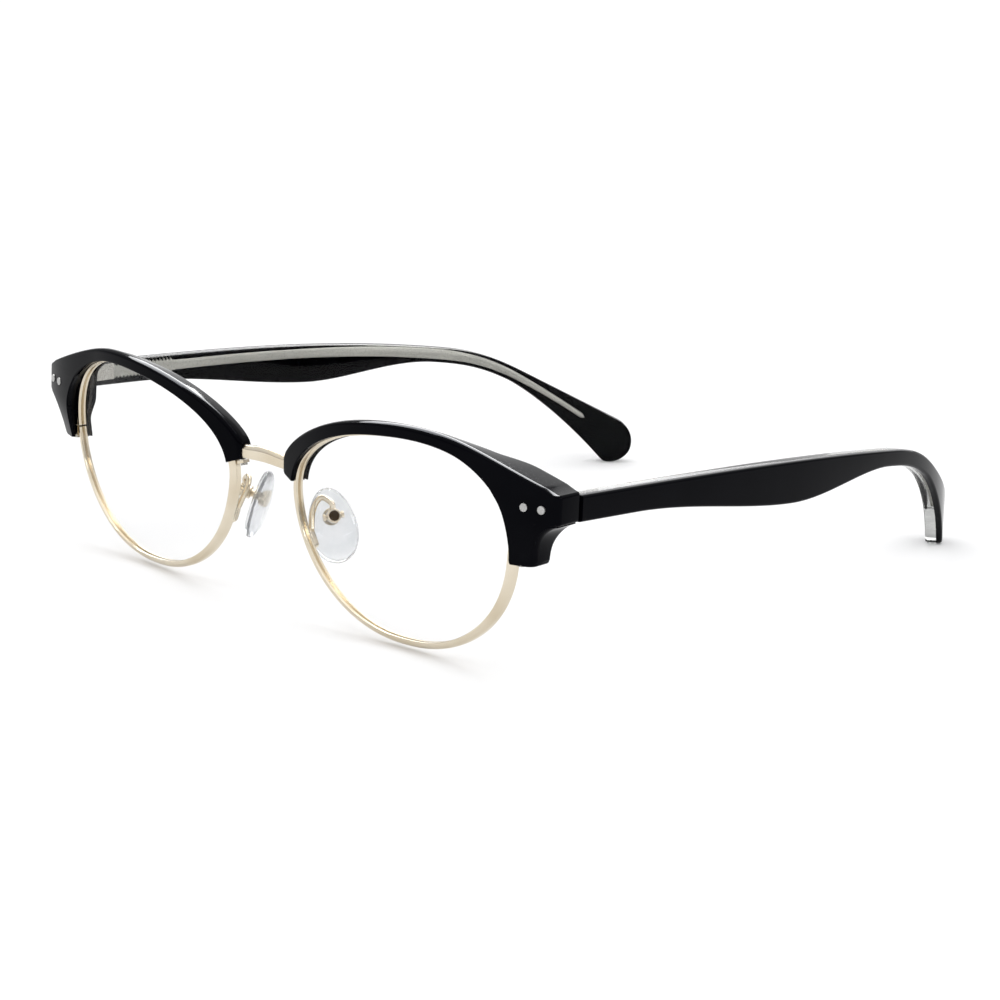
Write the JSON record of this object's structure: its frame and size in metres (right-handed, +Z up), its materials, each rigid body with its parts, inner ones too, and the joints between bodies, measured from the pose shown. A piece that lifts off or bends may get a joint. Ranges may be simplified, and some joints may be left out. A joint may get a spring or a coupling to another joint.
{
  "type": "browline glasses",
  "caption": "Browline eyeglass frame: black acetate brows over gold wire rims, clear lenses, adjustable nose pads and folding laminated temples.",
  "frame": {"origin": "bottom centre of the bounding box, on the surface the glasses stand on, temples open", "axes": "+Z up, -Y the way the glasses face, +Y back along the temples, +X the wearer's left"},
  "size_m": [0.1398, 0.1524, 0.0418],
  "materials": {
    "black_acetate": "polished black acetate",
    "clear_acetate": "polished clear acetate",
    "gold_metal": "pale gold plating, satin",
    "steel": "bright",
    "clear_lens": "clear",
    "silicone": "clear silicone"
  },
  "bodies": {
    "front": {"brow_right": "black_acetate", "brow_left": "black_acetate", "rim_right": "gold_metal", "rim_left": "gold_metal", "bridge": "gold_metal", "lens_right": "clear_lens", "lens_left": "clear_lens", "rim_lock_right": "gold_metal", "rim_lock_left": "gold_metal", "rim_screw_right": "steel", "rim_screw_left": "steel", "brow_bracket_right": "gold_metal", "brow_bracket_left": "gold_metal", "brow_screw_right": "steel", "brow_screw_left": "steel", "front_hinge_right": "steel", "front_hinge_left": "steel", "endpiece_rivets_right": "steel", "endpiece_rivets_left": "steel", "hinge_screw_right": "steel", "hinge_screw_left": "steel", "pad_arm_right": "gold_metal", "pad_arm_left": "gold_metal", "pad_screw_right": "steel", "pad_screw_left": "steel"},
    "temple_left": {"temple_outer_left": "black_acetate", "temple_inner_left": "clear_acetate", "temple_core_left": "steel", "temple_hinge_left": "steel"},
    "temple_right": {"temple_outer_right": "black_acetate", "temple_inner_right": "clear_acetate", "temple_core_right": "steel", "temple_hinge_right": "steel"},
    "pad_left": {"nose_pad_left": "silicone", "pad_insert_left": "gold_metal"},
    "pad_right": {"nose_pad_right": "silicone", "pad_insert_right": "gold_metal"}
  },
  "joints": [
    {"name": "temple_fold_left", "type": "hinge", "parent": "front", "child": "temple_left", "pos_m": [0.06463, -0.06246, 0.03157], "axis": [0, 0, 1], "range_deg": [0, 80]},
    {"name": "temple_fold_right", "type": "hinge", "parent": "front", "child": "temple_right", "pos_m": [-0.06463, -0.06246, 0.03157], "axis": [0, 0, -1], "range_deg": [0, 64]},
    {"name": "nose_pad_rock_left", "type": "hinge", "parent": "front", "child": "pad_left", "pos_m": [0.01208, -0.06621, 0.01893], "axis": [0.498, 0.848, 0.1812], "range_deg": [-8, 8]},
    {"name": "nose_pad_rock_right", "type": "hinge", "parent": "front", "child": "pad_right", "pos_m": [-0.01208, -0.06621, 0.01893], "axis": [0.498, -0.848, -0.1812], "range_deg": [-8, 8]}
  ]
}
